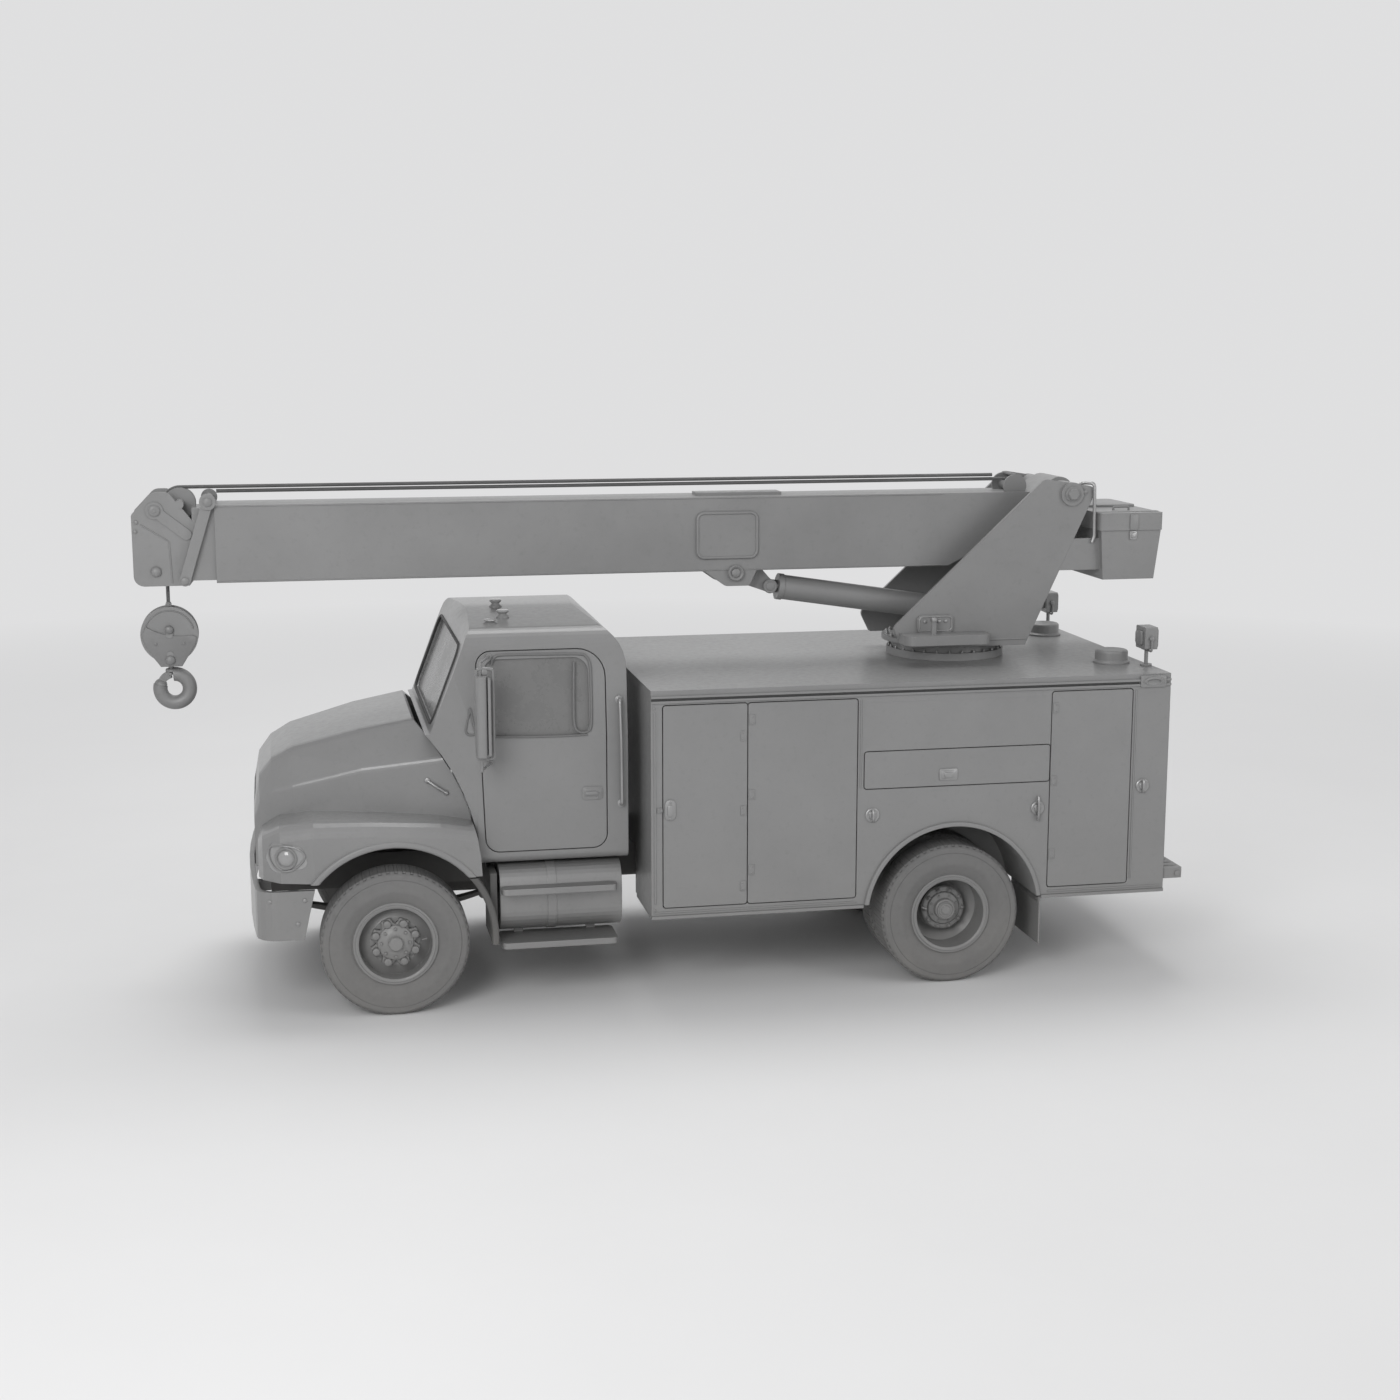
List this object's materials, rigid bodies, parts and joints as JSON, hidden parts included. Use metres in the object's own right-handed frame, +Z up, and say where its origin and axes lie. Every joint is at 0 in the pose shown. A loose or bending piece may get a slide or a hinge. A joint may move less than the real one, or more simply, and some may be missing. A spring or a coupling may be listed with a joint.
{
  "type": "derrick truck with telescopic boom",
  "caption": "Conventional-cab utility truck with an enclosed service body, rear slewing turret, telescopic boom stowed over the cab, lift cylinder and hanging hook block.",
  "frame": {"origin": "on the ground under the middle of the overall length and width", "axes": "+X forward, +Y to the truck's left, +Z up"},
  "size_m": [7.315, 2.66, 3.5141],
  "materials": {
    "cab_paint": "smooth semi-gloss paint",
    "body_paint": "satin paint on flat panels",
    "boom_paint": "satin paint on welded plate",
    "frame_black": "matt chassis paint",
    "tread_alloy": "dull alloy",
    "wheel_steel": "satin wheel paint",
    "tyre_rubber": "dusty rubber",
    "window_glass": "tinted glass",
    "lamp_lens": "moulded lens",
    "grille_grey": "moulded plastic",
    "cab_trim": "grained plastic",
    "wire_rope": "stranded wire",
    "cylinder_paint": "satin paint",
    "rod_chrome": "polished chrome",
    "forged_steel": "forged and painted"
  },
  "bodies": {
    "chassis": {"frame_rails": "frame_black", "front_axle": "frame_black", "rear_axle": "frame_black", "engine": "frame_black", "front_bumper": "cab_paint", "splash_guards": "cab_paint", "cab_shell": "cab_paint", "cab_glass": "window_glass", "cab_interior": "cab_trim", "fuel_tanks": "tread_alloy", "cab_steps": "tread_alloy", "service_body": "body_paint", "body_trim": "body_paint", "rear_bumper": "body_paint", "roof_fittings": "body_paint", "pedestal": "frame_black"},
    "hood": {"hood": "cab_paint", "grille": "grille_grey", "headlamps": "lamp_lens"},
    "rear_door": {"rear_door": "body_paint"},
    "turret": {"turret": "boom_paint", "console": "boom_paint", "toolbox": "boom_paint"},
    "toolbox_lid": {"toolbox_lid": "boom_paint"},
    "boom": {"boom_base": "boom_paint", "winch": "frame_black", "boom_rope": "wire_rope"},
    "boom_tip": {"boom_tip": "boom_paint", "tip_rope": "wire_rope"},
    "lift_barrel": {"lift_barrel": "cylinder_paint"},
    "lift_rod": {"lift_rod": "rod_chrome"},
    "hook_block": {"hook_block": "boom_paint"},
    "hook": {"hook": "forged_steel"},
    "cab_door_left": {"cab_door_left": "cab_paint", "door_glass_left": "window_glass", "mirror_left": "cab_trim"},
    "knuckle_left": {"knuckle_left": "frame_black"},
    "front_wheel_left": {"front_wheel_left": "wheel_steel", "front_tyre_left": "tyre_rubber"},
    "rear_wheel_left": {"rear_wheel_left": "wheel_steel", "rear_tyres_left": "tyre_rubber"},
    "cab_door_right": {"cab_door_right": "cab_paint", "door_glass_right": "window_glass", "mirror_right": "cab_trim"},
    "knuckle_right": {"knuckle_right": "frame_black"},
    "front_wheel_right": {"front_wheel_right": "wheel_steel", "front_tyre_right": "tyre_rubber"},
    "rear_wheel_right": {"rear_wheel_right": "wheel_steel", "rear_tyres_right": "tyre_rubber"},
    "locker_door_left_front": {"locker_door_left_front": "body_paint"},
    "locker_door_left_mid": {"locker_door_left_mid": "body_paint"},
    "locker_door_left_upper": {"locker_door_left_upper": "body_paint"},
    "locker_door_left_rear": {"locker_door_left_rear": "body_paint"},
    "locker_door_right_front": {"locker_door_right_front": "body_paint"},
    "locker_door_right_mid": {"locker_door_right_mid": "body_paint"},
    "locker_door_right_upper": {"locker_door_right_upper": "body_paint"},
    "locker_door_right_rear": {"locker_door_right_rear": "body_paint"}
  },
  "joints": [
    {"name": "slew", "type": "hinge", "parent": "chassis", "child": "turret", "pos_m": [-2.1725, 0, 2.3], "axis": [0, 0, 1], "continuous": true},
    {"name": "boom_lift", "type": "hinge", "parent": "turret", "child": "boom", "pos_m": [-2.9685, 0, 3.384], "axis": [0, -1, 0], "range_deg": [0, 65]},
    {"name": "telescope", "type": "slide", "parent": "boom", "child": "boom_tip", "axis": [1, 0, 0], "range_m": [0, 3]},
    {"name": "cylinder_swing", "type": "hinge", "parent": "turret", "child": "lift_barrel", "pos_m": [-2.3725, 0, 2.48], "axis": [0, -1, 0], "range_deg": [0, 62]},
    {"name": "cylinder_stroke", "type": "slide", "parent": "lift_barrel", "child": "lift_rod", "axis": [0.9884, 0, 0.1521], "range_m": [0, 1.16]},
    {"name": "block_hang", "type": "hinge", "parent": "boom_tip", "child": "hook_block", "pos_m": [3.4455, 0, 2.69], "axis": [0, 1, 0], "range_deg": [0, 65]},
    {"name": "hook_swivel", "type": "hinge", "parent": "hook_block", "child": "hook", "pos_m": [3.4455, 0, 2.28], "axis": [0, 0, 1], "continuous": true},
    {"name": "hood_tilt", "type": "hinge", "parent": "chassis", "child": "hood", "pos_m": [2.8675, 0, 0.925], "axis": [0, 1, 0], "range_deg": [0, 52]},
    {"name": "steer_left", "type": "hinge", "parent": "chassis", "child": "knuckle_left", "pos_m": [2.0075, 0.88, 0.5], "axis": [0, 0, 1], "range_deg": [-35, 35]},
    {"name": "front_wheel_left_spin", "type": "hinge", "parent": "knuckle_left", "child": "front_wheel_left", "pos_m": [2.0075, 1.01, 0.5], "axis": [0, 1, 0], "continuous": true},
    {"name": "rear_wheel_left_spin", "type": "hinge", "parent": "chassis", "child": "rear_wheel_left", "pos_m": [-1.8725, 0.9, 0.5], "axis": [0, 1, 0], "continuous": true},
    {"name": "cab_door_left_swing", "type": "hinge", "parent": "chassis", "child": "cab_door_left", "pos_m": [1.4305, 1.006, 1.5], "axis": [0, 0, -1], "range_deg": [0, 65]},
    {"name": "locker_left_front_swing", "type": "hinge", "parent": "chassis", "child": "locker_door_left_front", "pos_m": [-0.388, 1.22, 1.37], "axis": [0, 0, 1], "range_deg": [0, 85]},
    {"name": "locker_left_mid_swing", "type": "hinge", "parent": "chassis", "child": "locker_door_left_mid", "pos_m": [-0.395, 1.22, 1.37], "axis": [0, 0, -1], "range_deg": [0, 85]},
    {"name": "locker_left_rear_swing", "type": "hinge", "parent": "chassis", "child": "locker_door_left_rear", "pos_m": [-2.5715, 1.22, 1.37], "axis": [0, 0, -1], "range_deg": [0, 85]},
    {"name": "locker_left_upper_swing", "type": "hinge", "parent": "chassis", "child": "locker_door_left_upper", "pos_m": [-1.8725, 1.22, 1.7], "axis": [1, 0, 0], "range_deg": [0, 95]},
    {"name": "steer_right", "type": "hinge", "parent": "chassis", "child": "knuckle_right", "pos_m": [2.0075, -0.88, 0.5], "axis": [0, 0, 1], "range_deg": [-35, 35]},
    {"name": "front_wheel_right_spin", "type": "hinge", "parent": "knuckle_right", "child": "front_wheel_right", "pos_m": [2.0075, -1.01, 0.5], "axis": [0, 1, 0], "continuous": true},
    {"name": "rear_wheel_right_spin", "type": "hinge", "parent": "chassis", "child": "rear_wheel_right", "pos_m": [-1.8725, -0.9, 0.5], "axis": [0, 1, 0], "continuous": true},
    {"name": "cab_door_right_swing", "type": "hinge", "parent": "chassis", "child": "cab_door_right", "pos_m": [1.4305, -1.006, 1.5], "axis": [0, 0, 1], "range_deg": [0, 65]},
    {"name": "locker_right_front_swing", "type": "hinge", "parent": "chassis", "child": "locker_door_right_front", "pos_m": [-0.388, -1.22, 1.37], "axis": [0, 0, -1], "range_deg": [0, 85]},
    {"name": "locker_right_mid_swing", "type": "hinge", "parent": "chassis", "child": "locker_door_right_mid", "pos_m": [-0.395, -1.22, 1.37], "axis": [0, 0, 1], "range_deg": [0, 85]},
    {"name": "locker_right_rear_swing", "type": "hinge", "parent": "chassis", "child": "locker_door_right_rear", "pos_m": [-2.5715, -1.22, 1.37], "axis": [0, 0, 1], "range_deg": [0, 85]},
    {"name": "locker_right_upper_swing", "type": "hinge", "parent": "chassis", "child": "locker_door_right_upper", "pos_m": [-1.8725, -1.22, 1.7], "axis": [-1, 0, 0], "range_deg": [0, 95]},
    {"name": "rear_door_swing", "type": "hinge", "parent": "chassis", "child": "rear_door", "pos_m": [-3.4675, -0.43, 1.56], "axis": [0, 0, 1], "range_deg": [0, 100]},
    {"name": "toolbox_lid_swing", "type": "hinge", "parent": "turret", "child": "toolbox_lid", "pos_m": [-3.4225, -0.512, 3.1174], "axis": [1, 0, 0], "range_deg": [0, 100]}
  ],
  "couplings": [
    {"joint": "cylinder_swing", "follows": "boom_lift", "ratio": 0.9488},
    {"joint": "cylinder_stroke", "follows": "boom_lift", "m_per_rad": 1.02},
    {"joint": "block_hang", "follows": "boom_lift", "ratio": 1},
    {"joint": "steer_right", "follows": "steer_left", "ratio": 1}
  ]
}
